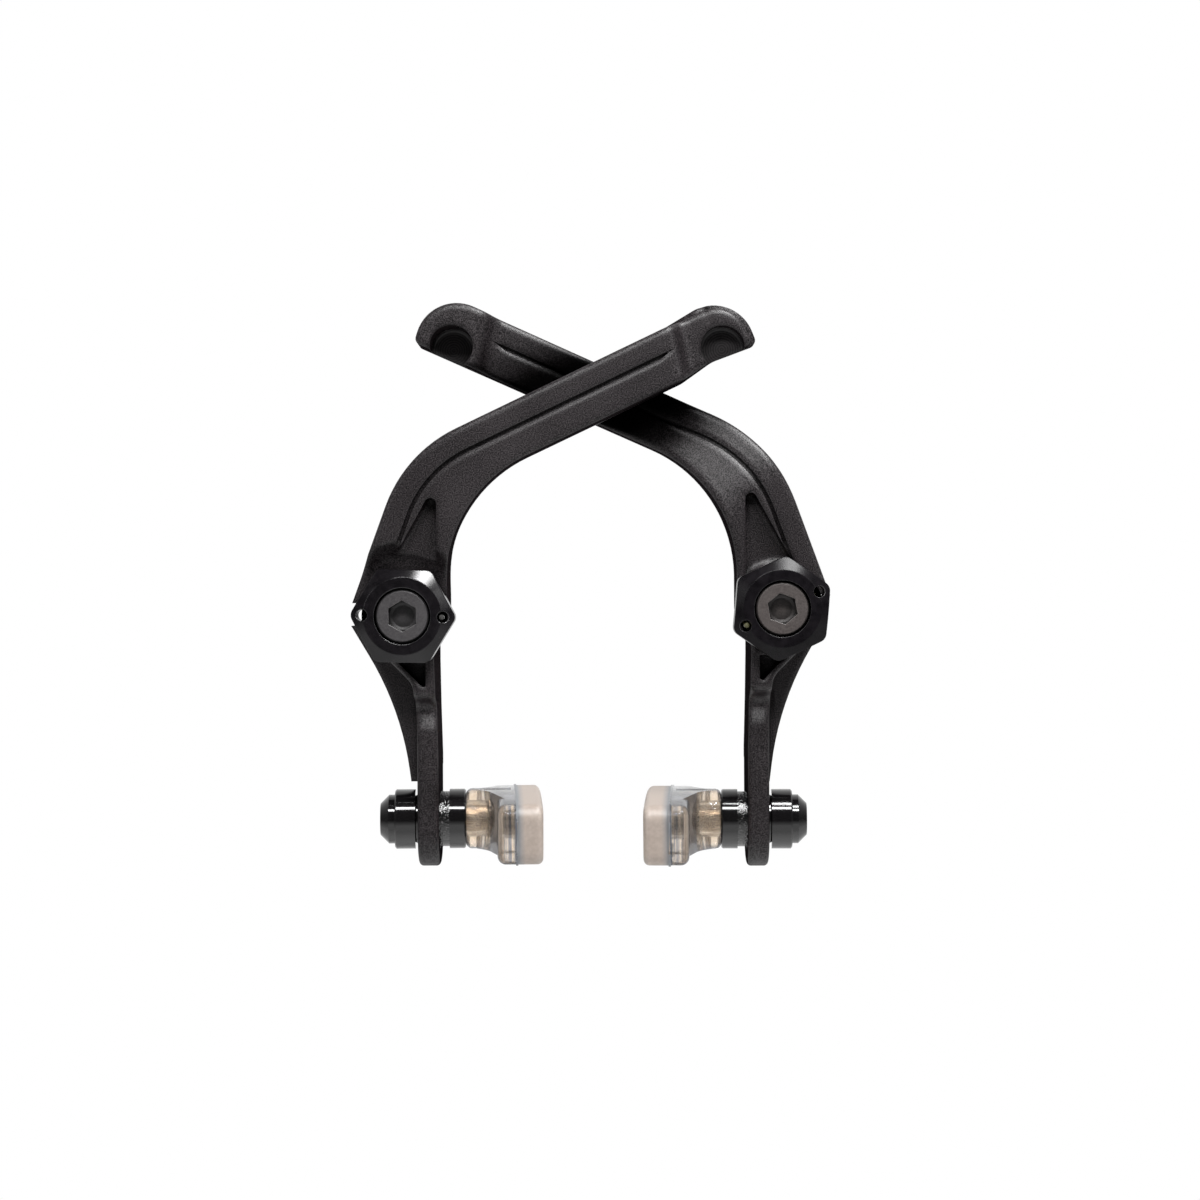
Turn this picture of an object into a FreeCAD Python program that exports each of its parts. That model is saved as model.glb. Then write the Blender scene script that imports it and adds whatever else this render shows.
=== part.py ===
import FreeCAD, Part
import math
import os

# A bicycle U-brake: two bent arms that cross above the tyre, each on its own pivot.
# Millimetres. +X is right seen from the front, +Z is up and the front is -Y.
# The origin is midway between the two pivots, on the plane where the brake seats on the frame.
# Each side is built in its own frame: u runs from the pivot towards the middle of the brake,
# v runs up and a depth is measured forwards from the seat. The right side is then mirrored.

# Pivots
pivot_spacing = 83.0
boss_radius = 9.5
boss_rear_radius = 8.6
boss_depth = 20.5
boss_rear_depth = 0.5
stud_bore_radius = 4.5
sleeve_wall = 1.5
running_clearance = 0.04
bushing_wall = 0.96

# Bent upper arm, seen from the front
outer_leg_u = -6.1
outer_leg_v = 17.8
outer_leg_lean = 20.05
inner_leg_u = 9.3
inner_bend_radius = 31.1
leg_foot_v = 2.9
leg_notch_u = -7.8
leg_notch_rise = 0.8
tip_corner_radius = 1.5

# Each arm's own outline: the front one is on the left, the rear one on the right
arms = {
    "left": {
        "corner_u": 0.47, "bend_radius": 30.5, "reach_angle": 25.43, "throat_v": 26.7, "throat_angle": 25.3,
        "step_u": 59.6, "tip_top_u": 72.2, "tip_radius": 7.0, "tip_end_u": 77.2, "tip_end_v": 59.9,
        "seat_u": 70.5, "seat_v": 58.9, "web_out": 0.65, "pad_set": 0.8,
    },
    "right": {
        "corner_u": 1.23, "bend_radius": 36.0, "reach_angle": 24.4, "throat_v": 28.0, "throat_angle": 24.2,
        "step_u": 63.8, "tip_top_u": 77.5, "tip_radius": 9.3, "tip_end_u": 81.3, "tip_end_v": 60.2,
        "seat_u": 72.9, "seat_v": 59.1, "web_out": -0.65, "pad_set": -0.8,
    },
}
tip_rise_u = 61.5
tip_rise_radius = 8.0
tip_notch_u = 68.3
tip_notch_v = 56.2

# Upper arm, in depth
front_arm_depth = 24.5
front_arm_rear_depth = 15.5
front_tip_depth = 21.0
rear_arm_depth = 17.0
rear_tip_depth = 13.7
rear_arm_waist_depth = 10.8
rear_arm_rear_depth = 3.7
arm_root_rear_depth = 6.0
ramp_low_v = 7.0
ramp_high_v = 17.0
ramp_rounding = 10.0
waist_u = 4.0
waist_v = 30.0
waist_run = 19.0
waist_lean = 45.0
waist_rounding = 25.0
tip_step_run = 3.0
tip_step_lean = 12.0
step_rounding = 4.0
arm_edge_radius = 1.0
tip_lip = 2.2
tip_lip_thickness = 2.9
tip_lip_start_u = 53.5

# Groove along the front of the upper arm
groove_from_edge = 5.5
groove_width = 0.95
groove_depth = 0.8
groove_end_low = 9.5
groove_end_high = 3.0
groove_point = 3.5

# Pockets above and below the boss
upper_pocket_u = 7.4
upper_pocket_apex_v = 29.6
upper_pocket_lean = 28.9
upper_pocket_depth = 3.0
upper_pocket_corner = 1.3
upper_pocket_rounding = 0.9
boss_skirt_radius = 2.2
lower_pocket_u = 4.6
lower_pocket_outer_u = -1.6
lower_pocket_top_v = -10.2
lower_pocket_apex_v = -16.6
lower_pocket_depth = 3.8
lower_pocket_corner = 0.6
spotface_radius = 12.8
spotface_rim_radius = 16.5
spotface_rounding = 3.0

# Cable seat in the tip
seat_radius = 4.9
seat_floor = 1.6
wire_hole_radius = 1.25

# Lower arm: pad plate, front rim and rear web
plate_outer_u = 2.3
plate_thickness = 4.7
plate_end_below_stud = 10.5
plate_front_depth = 17.3
plate_rear_depth = 1.9
plate_end_radius = 7.4
rim_start_angle = 225.0
rim_inner_u = 6.4
rim_taper_v = -10.0
rim_taper_end_v = -31.5
rim_corner_u = 1.7
rim_corner_radius = 5.0
ledge_v = -17.8
ledge_scoop_v = -20.2
ledge_scoop_depth = 16.3
ledge_rounding = 1.6
scoop_rounding = 2.4
plate_shoulder_v = -25.5
plate_shoulder_rounding = 5.0
plate_join_v = -34.0
lower_edge_radius = 0.9
web_front_depth = 12.5
web_rear_depth = 4.5
web_start_u = -12.1
web_start_v = -2.2
web_waist_u = -0.97
web_waist_v = -20.9
web_waist_radius = 68.0
web_end_u = 1.26
web_end_above_stud = 8.7

# Return spring in the boss
spring_wire_radius = 0.55
spring_coil_radius = 8.05
spring_bend_radius = 2.6
spring_turns = 3.2
spring_arcs_per_turn = 4
spring_pitch = 1.7
spring_cavity_radius = 8.95
spring_cavity_depth = 7.5
spring_floor = 0.5
spring_end_gap = 0.4
spring_leg_hole_radius = 1.35
spring_leg_hole_length = 4.0
spring_leg_sunk = 2.6

# Spring tension nut and pivot bolt
nut_across_flats = 20.3
nut_corner_radius = 2.0
nut_height = 5.8
nut_gap = 0.2
nut_face_radius = 8.5
nut_chamfer_angle = 35.0
nut_hole_radius = 1.27
nut_hole_from_axis = 8.85
nut_recess_radius = 6.2
nut_recess_depth = 3.3
bolt_radius = 3.4
bolt_clearance = 0.06
bolt_head_radius = 5.8
bolt_head_sunk = 0.3
bolt_head_chamfer = 0.35
bolt_reach_depth = 6.0
bolt_thread_radius = 2.95
bolt_neck_depth = 18.0
bolt_key = 6.0
bolt_key_depth = 2.8

# Brake pad and its fasteners
pad_stud_v = -46.7
pad_stud_depth = 9.5
pad_slot_clearance = 0.5
pad_drop = 3.0
pad_lift = 1.0
pad_toe = 3.0
washer_radius = 6.7
inner_ball_radius = 7.8
inner_ball_rim_radius = 6.2
washer_chamfer = 0.3
outer_ball_radius = 6.2
outer_ball_rim_radius = 5.5
washer_hole_clearance = 0.4
inner_cup_start = 4.35
inner_cup_end = 8.0
outer_cup_start = 3.3
outer_cup_end = 7.9
pad_nut_radius = 5.5
pad_nut_height = 3.3
pad_nut_flat_radius = 3.6
pad_nut_key = 5.0
pad_nut_key_depth = 1.8
pad_nut_key_turn = 30.0
pad_stud_radius = 3.0
pad_stud_grip = 1.4
pad_head_radius = 5.0
pad_head_start = 14.6
pad_head_thickness = 2.0
pad_tail_length = 2.4
pad_boss_radius = 6.8
pad_boss_rounding = 1.4
pad_boss_length = 4.6
pad_flare_reach = 22.0
pad_flare_radius = 4.2
pad_length = 50.0
pad_height = 13.3
pad_raise = -0.05
pad_back_start = 15.0
pad_back_rounding = 3.2
pad_face_start = 24.9
pad_parting_start = 19.0
pad_parting_width = 0.5
pad_parting_proud = 0.25
pad_arc_radius = 200.0
pad_edge_radius = 1.3

# How each side rests, and how its nut was left turned
sides = {
    "left": {"open_tilt": 0.85, "nut_turn": -2.6, "key_turn": 0.0},
    "right": {"open_tilt": -0.85, "nut_turn": -24.0, "key_turn": -9.0},
}

origin = FreeCAD.Vector(0, 0, 0)
along_x = FreeCAD.Vector(1, 0, 0)
along_y = FreeCAD.Vector(0, 1, 0)
along_z = FreeCAD.Vector(0, 0, 1)
far = 120.0
overshoot = 1.0
tiny = 1e-6
forward_slope = -0.3
side_slope = 0.05
sleeve_radius = stud_bore_radius + sleeve_wall
bushing_bore_radius = sleeve_radius + running_clearance
bushing_radius = bushing_bore_radius + bushing_wall
nut_rear_depth = boss_depth + nut_gap
nut_front_depth = nut_rear_depth + nut_height
plate_inner_u = plate_outer_u + plate_thickness
pad_centre_u = plate_outer_u + plate_thickness / 2
spring_leg_from_axis = math.hypot(spring_coil_radius, spring_bend_radius)
spring_bend_angle = math.degrees(math.atan2(spring_bend_radius, spring_coil_radius))


def seen_from_front(a, b):
    return FreeCAD.Vector(a, 0, b)


def seen_from_top(a, b):
    return FreeCAD.Vector(a, -b, 0)


def seen_from_side(a, b):
    return FreeCAD.Vector(0, -a, b)


def rounded_wire(corners, place):
    """Closed wire of straight runs with a tangent arc at each corner (a, b, radius)."""
    points = [FreeCAD.Vector(a, b, 0) for a, b, radius in corners]
    turns = []
    for index, (a, b, radius) in enumerate(corners):
        if radius == 0:
            turns.append((points[index], points[index], points[index]))
            continue
        back = (points[index - 1] - points[index]).normalize()
        ahead = (points[(index + 1) % len(points)] - points[index]).normalize()
        half = back.getAngle(ahead) / 2
        reach = radius / math.tan(half)
        middle = (back + ahead).normalize() * (radius / math.sin(half) - radius)
        turns.append((points[index] + back * reach, points[index] + middle, points[index] + ahead * reach))
    edges = []
    for index, (start, middle, end) in enumerate(turns):
        if corners[index][2] > 0:
            arc_points = [place(p.x, p.y) for p in (start, middle, end)]
            edges.append(Part.Arc(*arc_points).toShape())
        following = turns[(index + 1) % len(turns)][0]
        if (following - end).Length > tiny:
            edges.append(Part.LineSegment(place(end.x, end.y), place(following.x, following.y)).toShape())
    return Part.Wire(edges)


def front_prism(corners, rear_depth, front_depth):
    face = Part.Face(rounded_wire(corners, seen_from_front))
    face.translate(FreeCAD.Vector(0, -rear_depth, 0))
    return face.extrude(FreeCAD.Vector(0, rear_depth - front_depth, 0))


def top_prism(corners, low, high):
    face = Part.Face(rounded_wire(corners, seen_from_top))
    face.translate(along_z * low)
    return face.extrude(along_z * (high - low))


def side_prism(corners, low, high):
    face = Part.Face(rounded_wire(corners, seen_from_side))
    face.translate(along_x * low)
    return face.extrude(along_x * (high - low))


def pivot_cylinder(radius, rear_depth, front_depth, u=0.0, v=0.0):
    base = FreeCAD.Vector(u, -rear_depth, v)
    return Part.makeCylinder(radius, front_depth - rear_depth, base, -along_y)


def stud_cylinder(radius, start, end):
    """Cylinder on the pad stud's axis, measured from the middle of the pad plate."""
    base = FreeCAD.Vector(pad_centre_u + start, -pad_stud_depth, pad_stud_v)
    return Part.makeCylinder(radius, end - start, base, along_x)


def on_stud_section(a, b):
    """Point of a half section through the pad stud's axis."""
    return FreeCAD.Vector(pad_centre_u + a, -pad_stud_depth, pad_stud_v + b)


def hexagon(across_flats, turn, corner_radius):
    reach = across_flats / math.sqrt(3)
    angles = [math.radians(turn + 60 * step) for step in range(6)]
    return [(reach * math.cos(angle), reach * math.sin(angle), corner_radius) for angle in angles]


def face_normal(face, point):
    u, v = face.Surface.parameter(point)
    return face.normalAt(u, v)


def front_rim_edges(shape, low_v, high_v):
    """Edges between two heights where a forward facing face meets a side wall."""
    chosen = []
    for edge in shape.Edges:
        middle = edge.valueAt((edge.FirstParameter + edge.LastParameter) / 2)
        slopes = sorted(face_normal(face, middle).y for face in shape.ancestorsOfType(edge, Part.Face))
        within = low_v + tiny < middle.z < high_v
        if within and len(slopes) == 2 and slopes[0] < forward_slope and abs(slopes[1]) < side_slope:
            chosen.append(edge)
    return chosen


def reach_line(side, u):
    """Height of the upper edge of the arm at u."""
    lean = math.radians(outer_leg_lean)
    corner_v = outer_leg_v + (arms[side]["corner_u"] - outer_leg_u) / math.tan(lean)
    return corner_v + (u - arms[side]["corner_u"]) * math.tan(math.radians(arms[side]["reach_angle"]))


def throat_line(side, u):
    """Height of the lower edge of the arm at u."""
    return arms[side]["throat_v"] + (u - inner_leg_u) * math.tan(math.radians(arms[side]["throat_angle"]))


def leg_line(v):
    """Place of the outer edge of the leg at height v."""
    return outer_leg_u + (v - outer_leg_v) * math.tan(math.radians(outer_leg_lean))


def tip_corner(side, outset):
    """Upper corner of the tip, moved outwards across both edges that meet there."""
    rise = math.radians(arms[side]["reach_angle"])
    shift_u = outset * (math.cos(rise) - math.sin(rise))
    shift_v = outset * (math.cos(rise) + math.sin(rise))
    top_u = arms[side]["tip_top_u"]
    return top_u + shift_u, reach_line(side, top_u) + shift_v


def tip_underside(side):
    """Corners of the lower edge near the tip: the front arm's rises, the rear arm's is straight."""
    if side == "right":
        return []
    return [(tip_notch_u, tip_notch_v, tip_rise_radius),
            (tip_rise_u, throat_line(side, tip_rise_u), tip_rise_radius)]


def upper_outline(side):
    """Front outline of the bent arm."""
    arm = arms[side]
    return [
        (leg_line(leg_foot_v), leg_foot_v, 0),
        (arm["corner_u"], reach_line(side, arm["corner_u"]), arm["bend_radius"]),
        (*tip_corner(side, 0), arm["tip_radius"]),
        (arm["tip_end_u"], arm["tip_end_v"], tip_corner_radius),
        *tip_underside(side),
        (inner_leg_u, arm["throat_v"], inner_bend_radius),
        (inner_leg_u, 0, 0),
        (0, 0, 0),
        (leg_notch_u, leg_foot_v + leg_notch_rise, 0),
    ]


def tip_lip_plate():
    """Rear layer of the front arm's tip, which stands a little proud of its edge."""
    arm = arms["left"]
    corners = [
        (tip_lip_start_u, reach_line("left", tip_lip_start_u), 0),
        (*tip_corner("left", tip_lip), arm["tip_radius"] + tip_lip),
        (arm["tip_end_u"] + tip_lip / 2, arm["tip_end_v"], tip_corner_radius),
        *tip_underside("left"),
        (tip_lip_start_u, throat_line("left", tip_lip_start_u), 0),
    ]
    return front_prism(corners, front_arm_rear_depth, front_arm_rear_depth + tip_lip_thickness)


def upper_side_profile(side):
    """Depths of the upper arm against its height."""
    front = front_arm_depth if side == "left" else rear_arm_depth
    high_rear = front_arm_rear_depth if side == "left" else rear_arm_rear_depth
    return [
        (front, far, 0),
        (front, -far, 0),
        (arm_root_rear_depth, -far, 0),
        (arm_root_rear_depth, ramp_low_v, ramp_rounding),
        (high_rear, ramp_high_v, ramp_rounding),
        (high_rear, far, 0),
    ]


def stepped_block(start, run, depths, rounding, lean):
    """Block whose front steps from one depth to another on its way from the start point along the lean."""
    profile = [
        (-far, depths[0], 0),
        (start[0], depths[0], rounding),
        (start[0] + run, depths[1], rounding),
        (far, depths[1], 0),
        (far, 0, 0),
        (-far, 0, 0),
    ]
    block = top_prism(profile, -far, far)
    block.rotate(FreeCAD.Vector(start[0], 0, start[1]), along_y, -lean)
    return block


def upper_depths(side):
    """Block that gives the upper arm its front: a step at the tip, and a waist on the rear arm."""
    step_start = (arms[side]["step_u"], arms[side]["seat_v"])
    if side == "left":
        tip = (front_arm_depth, front_tip_depth)
        return stepped_block(step_start, tip_step_run, tip, step_rounding, tip_step_lean)
    waist = (rear_arm_depth, rear_arm_waist_depth)
    tip = (rear_arm_waist_depth, rear_tip_depth)
    block = stepped_block((waist_u, waist_v), waist_run, waist, waist_rounding, waist_lean)
    block = block.fuse(stepped_block(step_start, tip_step_run, tip, step_rounding, tip_step_lean))
    return block.removeSplitter()


def upper_body(side):
    """Bent arm from its boss to its tip, with its front edges rounded."""
    body = front_prism(upper_outline(side), 0, front_arm_depth)
    body = body.common(side_prism(upper_side_profile(side), -far, far))
    body = body.common(upper_depths(side))
    body = body.makeFillet(arm_edge_radius, front_rim_edges(body, leg_foot_v + leg_notch_rise, far))
    if side == "left":
        body = body.fuse(tip_lip_plate())
    return body


def groove_tool(side, body):
    """Pointed band that follows the outer edge of the arm, sunk below the front of the body."""
    lean = math.radians(outer_leg_lean)
    rise = math.radians(arms[side]["reach_angle"])

    def band_points(offset):
        low_v = groove_end_low
        low = (leg_line(low_v) + offset / math.cos(lean), low_v)
        high_u = arms[side]["step_u"] - groove_end_high
        high = (high_u, reach_line(side, high_u) - offset / math.cos(rise))
        a1 = leg_line(0) + offset / math.cos(lean)
        b1 = reach_line(side, 0) - offset / math.cos(rise)
        corner_v = (b1 + a1 * math.tan(rise)) / (1 - math.tan(lean) * math.tan(rise))
        corner = (a1 + corner_v * math.tan(lean), corner_v)
        return low, corner, high

    near = groove_from_edge - groove_width / 2
    over = groove_from_edge + groove_width / 2
    low_a, corner_a, high_a = band_points(near)
    low_b, corner_b, high_b = band_points(over)
    low_tip = (low_b[0] - groove_point * math.sin(lean), low_b[1] - groove_point * math.cos(lean))
    high_tip = (high_a[0] + groove_point * math.cos(rise), high_a[1] + groove_point * math.sin(rise))
    corners = [
        (low_tip[0], low_tip[1], 0),
        (low_a[0], low_a[1], 0),
        (corner_a[0], corner_a[1], arms[side]["bend_radius"] - near),
        (high_a[0], high_a[1], 0),
        (high_tip[0], high_tip[1], 0),
        (high_b[0], high_b[1], 0),
        (corner_b[0], corner_b[1], arms[side]["bend_radius"] - over),
        (low_b[0], low_b[1], 0),
    ]
    band = front_prism(corners, rear_arm_rear_depth, far)
    sunk = body.copy()
    sunk.translate(FreeCAD.Vector(0, groove_depth, 0))
    return band.cut(sunk)


def turned_solid(corners):
    """Solid turned about the pivot from a half section of (radius, depth, rounding) corners."""
    return Part.Face(rounded_wire(corners, seen_from_top)).revolve(origin, along_y, 360)


def rounded_floor(pocket, floor_depth, radius):
    """Pocket tool with its floor rounded into its walls."""
    floor_edges = [edge for edge in pocket.Edges if edge.BoundBox.YMin > -floor_depth - tiny]
    return pocket.makeFillet(radius, floor_edges)


def boss_skirt(floor_depth):
    """Boss that spreads into the floor of a pocket beside it."""
    return turned_solid([
        (0, 0, 0),
        (spotface_radius, 0, 0),
        (spotface_radius, floor_depth, 0),
        (boss_radius, floor_depth, boss_skirt_radius),
        (boss_radius, far, 0),
        (0, far, 0),
    ])


def upper_pocket(side):
    face_depth = front_arm_depth if side == "left" else rear_arm_depth
    run = upper_pocket_apex_v * math.tan(math.radians(upper_pocket_lean))
    corners = [
        (upper_pocket_u, upper_pocket_apex_v, upper_pocket_corner),
        (upper_pocket_u, 0, 0),
        (upper_pocket_u - run, 0, 0),
    ]
    floor_depth = face_depth - upper_pocket_depth
    pocket = rounded_floor(front_prism(corners, floor_depth, far), floor_depth, upper_pocket_rounding)
    return pocket.cut(boss_skirt(floor_depth))


def lower_pocket():
    corners = [
        (lower_pocket_outer_u, lower_pocket_top_v, 0),
        (lower_pocket_u, lower_pocket_top_v, 0),
        (lower_pocket_u, lower_pocket_apex_v, lower_pocket_corner),
    ]
    pocket = front_prism(corners, boss_depth - lower_pocket_depth, far)
    return pocket.cut(pivot_cylinder(boss_radius, 0, far))


def plate_end(side):
    """Height of the lower end of the pad plate."""
    return pad_stud_v + arms[side]["pad_set"] - plate_end_below_stud


def lower_rim(side):
    """Front rim and ledge between the boss and the pad plate."""
    tangent = math.radians(rim_start_angle)
    start_u = boss_radius * math.cos(tangent)
    start_v = boss_radius * math.sin(tangent)
    corners = [
        (start_u, start_v, 0),
        (rim_corner_u, start_v - (rim_corner_u - start_u), rim_corner_radius),
        (plate_outer_u, plate_shoulder_v, 0),
        (plate_outer_u, plate_join_v, 0),
        (plate_inner_u, plate_join_v, 0),
        (plate_inner_u, rim_taper_end_v, 0),
        (rim_inner_u, rim_taper_v, 0),
        (rim_inner_u, 0, 0),
        (0, 0, 0),
    ]
    profile = [
        (boss_depth, 0, 0),
        (boss_depth, ledge_v, ledge_rounding),
        (ledge_scoop_depth, ledge_scoop_v, scoop_rounding),
        (plate_front_depth, plate_shoulder_v, plate_shoulder_rounding),
        (plate_front_depth, plate_end(side), 0),
        (plate_rear_depth, plate_end(side), 0),
        (plate_rear_depth, ledge_scoop_v, 0),
        (boss_rear_depth, -boss_radius, 0),
        (boss_rear_depth, 0, 0),
    ]
    rim = front_prism(corners, 0, boss_depth).common(side_prism(profile, -far, far))
    return rim.makeFillet(lower_edge_radius, front_rim_edges(rim, plate_join_v, start_v))


def pad_plate(side):
    """Flat plate with a round end that the pad bolts to."""
    corners = [
        (plate_front_depth, plate_join_v, 0),
        (plate_front_depth, plate_end(side), plate_end_radius),
        (plate_rear_depth, plate_end(side), plate_end_radius),
        (plate_rear_depth, plate_join_v, 0),
    ]
    plate = side_prism(corners, plate_outer_u, plate_inner_u)
    sides_of_plate = [edge for edge in plate.Edges if edge.BoundBox.XLength < tiny]
    rims = [edge for edge in sides_of_plate if edge.BoundBox.ZMin < plate_join_v - tiny]
    return plate.makeFillet(lower_edge_radius, rims)


def rear_web(side):
    """Web that braces the pad plate from the outer side of the boss."""
    end_v = pad_stud_v + arms[side]["pad_set"] + web_end_above_stud
    out = arms[side]["web_out"]
    corners = [
        (web_start_u - out, web_start_v, 0),
        (web_waist_u - out, web_waist_v, web_waist_radius),
        (web_end_u - out, end_v, 0),
        (pad_centre_u, end_v, 0),
        (pad_centre_u, web_start_v, 0),
    ]
    return front_prism(corners, web_rear_depth, web_front_depth)


def spotface():
    """Dished cut in the front arm that lets the tension nut sit back on the boss."""
    slope = (spotface_rim_radius - spotface_radius) / (front_arm_depth - boss_depth)
    return turned_solid([
        (0, boss_depth, 0),
        (spotface_radius, boss_depth, spotface_rounding),
        (spotface_rim_radius + slope * overshoot, front_arm_depth + overshoot, 0),
        (0, front_arm_depth + overshoot, 0),
    ])


def make_arm(side):
    body = upper_body(side)
    body = body.cut(groove_tool(side, body))
    body = body.cut(upper_pocket(side))
    if side == "left":
        body = body.cut(spotface())
    boss = pivot_cylinder(boss_rear_radius, boss_rear_depth, boss_depth)
    boss = boss.fuse(pivot_cylinder(boss_radius, boss_depth - spring_cavity_depth - spring_floor, boss_depth))
    arm = boss.fuse([body, lower_rim(side).cut(lower_pocket()), pad_plate(side), rear_web(side)])
    arm = arm.cut(pivot_cylinder(bushing_radius, 0, far))
    arm = arm.cut(pivot_cylinder(spring_cavity_radius, boss_depth - spring_cavity_depth, boss_depth + nut_gap))
    leg_angle = math.radians(spring_rear_angle(side) + sides[side]["open_tilt"])
    floor_depth = boss_depth - spring_cavity_depth
    arm = arm.cut(pivot_cylinder(spring_leg_hole_radius, floor_depth - spring_leg_hole_length, boss_depth,
                                 spring_leg_from_axis * math.cos(leg_angle),
                                 spring_leg_from_axis * math.sin(leg_angle)))
    arm = arm.cut(cable_seat(side))
    arm = arm.cut(pad_slot(side))
    return arm.removeSplitter()


def cable_seat(side):
    """Round blind seat for a cable end, open below, with a wire hole through its roof."""
    tip_depth, rear_depth = front_tip_depth, front_arm_rear_depth
    if side == "right":
        tip_depth, rear_depth = rear_tip_depth, rear_arm_rear_depth
    floor_depth = rear_depth + seat_floor
    arm = arms[side]
    seat = pivot_cylinder(seat_radius, floor_depth, tip_depth + overshoot, arm["seat_u"], arm["seat_v"])
    rise = math.radians(arm["reach_angle"])
    away = FreeCAD.Vector(-math.sin(rise), 0, math.cos(rise))
    middle = FreeCAD.Vector(arm["seat_u"], -(floor_depth + tip_depth) / 2, arm["seat_v"])
    hole = Part.makeCylinder(wire_hole_radius, 2 * arm["tip_radius"] + seat_radius, middle, away)
    return seat.fuse(hole)


def pad_slot(side):
    """Slot in the plate along which the pad's height is set."""
    half = pad_stud_radius + pad_slot_clearance
    set_v = pad_stud_v + arms[side]["pad_set"]
    low_v = set_v - pad_drop
    high_v = set_v + pad_lift
    corners = [(pad_stud_depth + a, b, 0) for a, b in
               ((-half, low_v), (half, low_v), (half, high_v), (-half, high_v))]
    slot = side_prism(corners, plate_outer_u, plate_inner_u)
    ends = [Part.makeCylinder(half, plate_thickness, FreeCAD.Vector(plate_outer_u, -pad_stud_depth, v), along_x)
            for v in (low_v, high_v)]
    return slot.fuse(ends)


def make_bushing(side):
    return pivot_cylinder(bushing_radius, boss_rear_depth, boss_depth - spring_end_gap).cut(
        pivot_cylinder(bushing_bore_radius, 0, boss_depth))


def make_sleeve(side):
    return pivot_cylinder(sleeve_radius, 0, nut_rear_depth).cut(
        pivot_cylinder(stud_bore_radius, 0, nut_rear_depth))


def spring_rear_angle(side):
    """Where the spring's rear leg stands round the pivot."""
    return sides[side]["nut_turn"] + 2 * spring_bend_angle + 360 * spring_turns


def quarter_bend(start, before, after):
    """Arc of the spring wire that turns from one direction into another at right angles."""
    centre = start + after * spring_bend_radius
    middle = centre + (before - after) * (spring_bend_radius / math.sqrt(2))
    return Part.Arc(start, middle, centre + before * spring_bend_radius).toShape()


def make_spring(side):
    """Torsion spring: a coil with one leg forwards into the nut and one back into the arm."""
    rear_depth = boss_depth - spring_cavity_depth + spring_end_gap + spring_wire_radius

    def coil_point(turn):
        angle = math.radians(sides[side]["nut_turn"] + spring_bend_angle + 360 * (spring_turns - turn))
        depth = rear_depth + spring_pitch * turn
        reach = FreeCAD.Vector(math.cos(angle), 0, math.sin(angle)) * spring_coil_radius
        return reach - along_y * depth

    def coil_heading(turn):
        angle = math.radians(sides[side]["nut_turn"] + spring_bend_angle + 360 * (spring_turns - turn))
        return FreeCAD.Vector(math.sin(angle), 0, -math.cos(angle))

    rear_bend_start = coil_point(0) - coil_heading(0) * spring_bend_radius + along_y * spring_bend_radius
    front_bend_end = coil_point(spring_turns) + (coil_heading(spring_turns) - along_y) * spring_bend_radius
    rear_end = FreeCAD.Vector(rear_bend_start)
    rear_end.y = spring_leg_hole_length - spring_end_gap - (boss_depth - spring_cavity_depth)
    front_end = FreeCAD.Vector(front_bend_end)
    front_end.y = spring_leg_sunk - nut_front_depth
    edges = [Part.LineSegment(rear_end, rear_bend_start).toShape(),
             quarter_bend(rear_bend_start, -along_y, coil_heading(0))]
    count = round(spring_turns * spring_arcs_per_turn)
    step = spring_turns / count
    for index in range(count):
        stops = [coil_point((index + part) * step) for part in (0, 0.5, 1)]
        edges.append(Part.Arc(*stops).toShape())
    edges.append(quarter_bend(coil_point(spring_turns), coil_heading(spring_turns), -along_y))
    edges.append(Part.LineSegment(front_bend_end, front_end).toShape())
    section = Part.Wire(Part.makeCircle(spring_wire_radius, rear_end, -along_y))
    return Part.Wire(edges).makePipeShell([section], True, True)


def make_tension_nut(side):
    turn = sides[side]["nut_turn"]
    nut = front_prism(hexagon(nut_across_flats, turn, nut_corner_radius), nut_rear_depth, nut_front_depth)
    slope = math.tan(math.radians(nut_chamfer_angle))
    base_radius = nut_face_radius + nut_height / slope
    cone = Part.makeCone(base_radius, nut_face_radius, nut_height,
                         FreeCAD.Vector(0, -nut_rear_depth, 0), -along_y)
    nut = nut.common(cone)
    nut = nut.cut(pivot_cylinder(bolt_radius + bolt_clearance, 0, far))
    nut = nut.cut(pivot_cylinder(nut_recess_radius, nut_front_depth - nut_recess_depth, far))
    for opposite in (0, 180):
        angle = math.radians(turn + opposite)
        hole_u = nut_hole_from_axis * math.cos(angle)
        hole_v = nut_hole_from_axis * math.sin(angle)
        nut = nut.cut(pivot_cylinder(nut_hole_radius, 0, far, hole_u, hole_v))
    return nut


def make_bolt(side):
    head_depth = nut_front_depth - bolt_head_sunk
    seat_depth = nut_front_depth - nut_recess_depth
    head = pivot_cylinder(bolt_head_radius, seat_depth, head_depth)
    rims = [edge for edge in head.Edges if abs(edge.CenterOfMass.y + head_depth) < tiny]
    head = head.makeChamfer(bolt_head_chamfer, rims)
    socket_floor = head_depth - bolt_key_depth
    key = front_prism(hexagon(bolt_key, 90 + sides[side]["key_turn"], 0), socket_floor, far)
    point = Part.makeCone(0, bolt_key / 2, bolt_key / 6, FreeCAD.Vector(0, -(socket_floor - bolt_key / 6), 0),
                          -along_y)
    thread = pivot_cylinder(bolt_thread_radius, bolt_reach_depth, bolt_neck_depth)
    neck = pivot_cylinder(bolt_radius, bolt_neck_depth, seat_depth)
    return head.cut([key, point]).fuse([neck, thread])


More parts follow.
